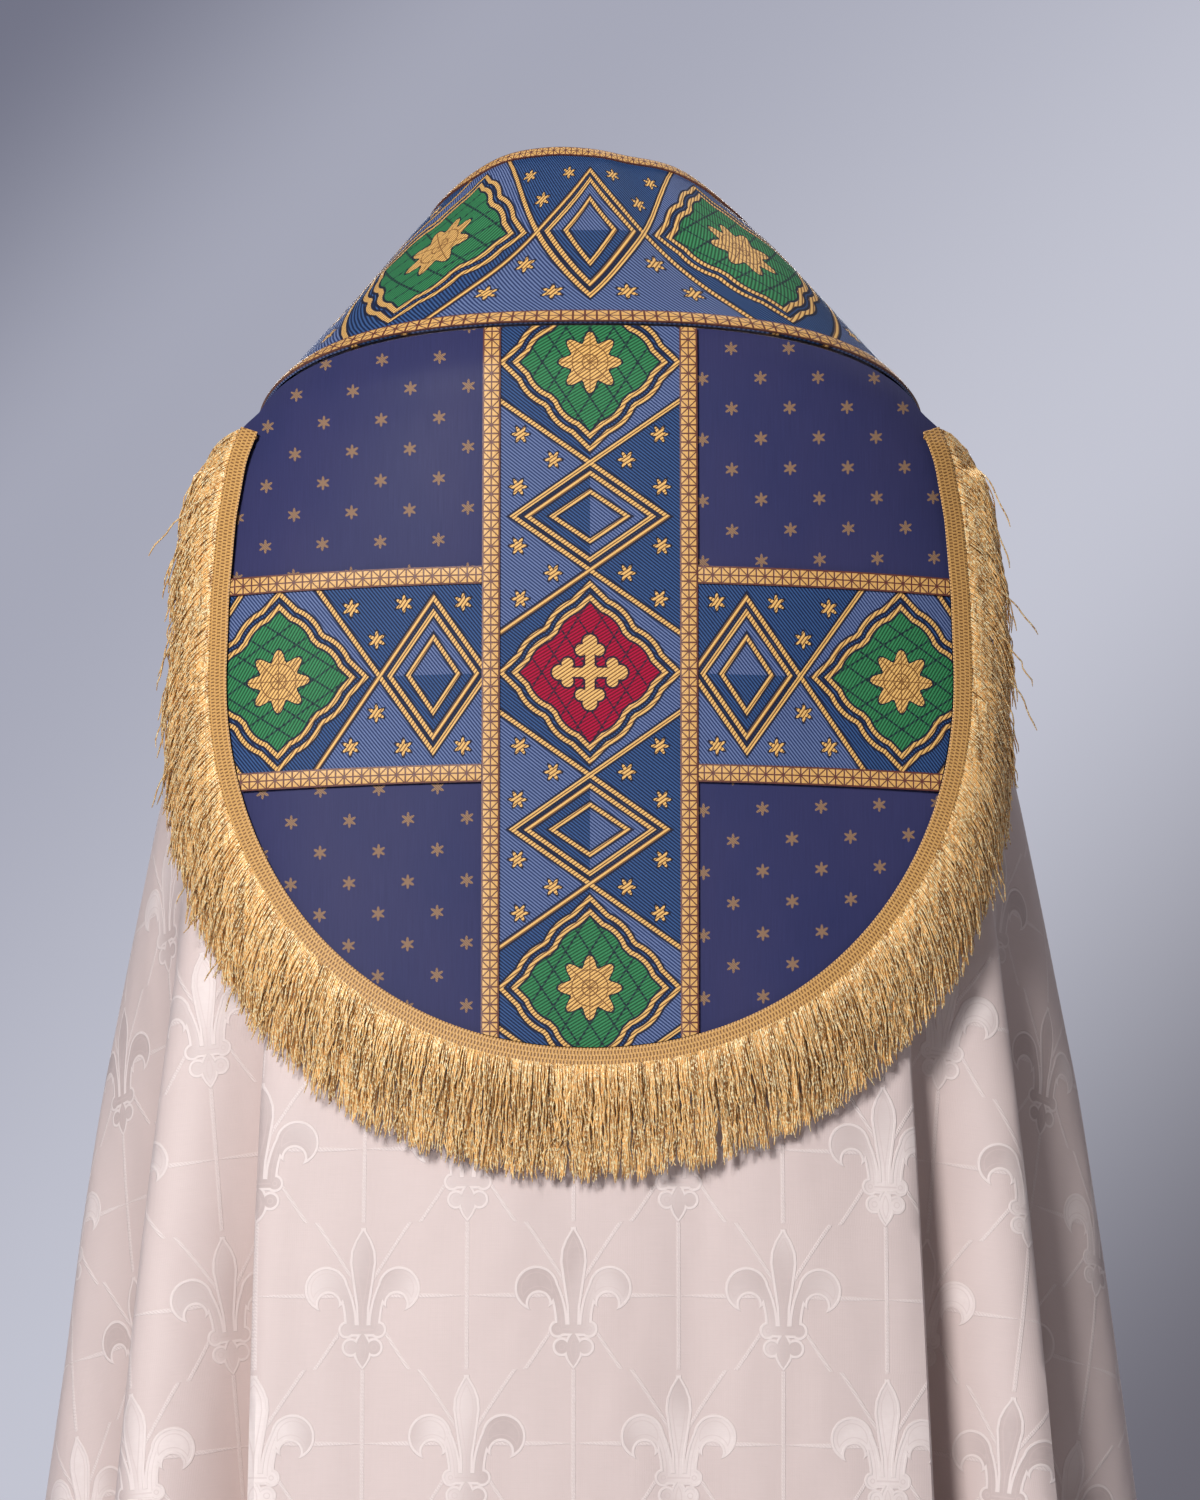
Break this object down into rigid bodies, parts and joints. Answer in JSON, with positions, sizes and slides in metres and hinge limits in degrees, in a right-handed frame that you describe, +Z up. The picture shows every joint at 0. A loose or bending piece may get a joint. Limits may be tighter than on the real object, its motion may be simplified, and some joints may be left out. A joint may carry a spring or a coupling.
{
  "type": "cope vestment",
  "caption": "Half-circle cope of cream damask, worn and open, with blue orphrey bands, a fringed shield hood bearing a cross, and a morse at the chest.",
  "frame": {"origin": "in the middle of the wearer's neck, level with the top of the neck band at the nape", "axes": "+Z up; +Y to the wearer's front, so the hood is on the -Y side; +X to the wearer's right"},
  "size_m": [0.9002, 0.6377, 1.4026],
  "materials": {
    "damask": "cream damask with a soft satin sheen",
    "orphrey": "twilled blue and gold orphrey cloth",
    "gallon": "woven gold gallon",
    "star_satin": "navy satin with woven stars",
    "fringe": "gold thread fringe"
  },
  "bodies": {
    "root": {"cape_body": "damask", "neck_orphrey": "orphrey", "neck_gallon_upper": "gallon", "neck_gallon_lower": "gallon", "front_orphrey_left": "orphrey", "front_orphrey_right": "orphrey", "front_gallon_left_edge": "gallon", "front_gallon_left_inner": "gallon", "front_gallon_right_edge": "gallon", "front_gallon_right_inner": "gallon", "hood_ground": "star_satin", "hood_orphrey_upright": "orphrey", "hood_orphrey_arm_left": "orphrey", "hood_orphrey_arm_right": "orphrey", "hood_gallon_upright_left": "gallon", "hood_gallon_upright_right": "gallon", "hood_gallon_arm_left_upper": "gallon", "hood_gallon_arm_left_lower": "gallon", "hood_gallon_arm_right_upper": "gallon", "hood_gallon_arm_right_lower": "gallon", "hood_fringe": "fringe", "morse_tab": "orphrey", "morse_gallon_upper": "gallon", "morse_gallon_lower": "gallon"}
  },
  "joints": []
}
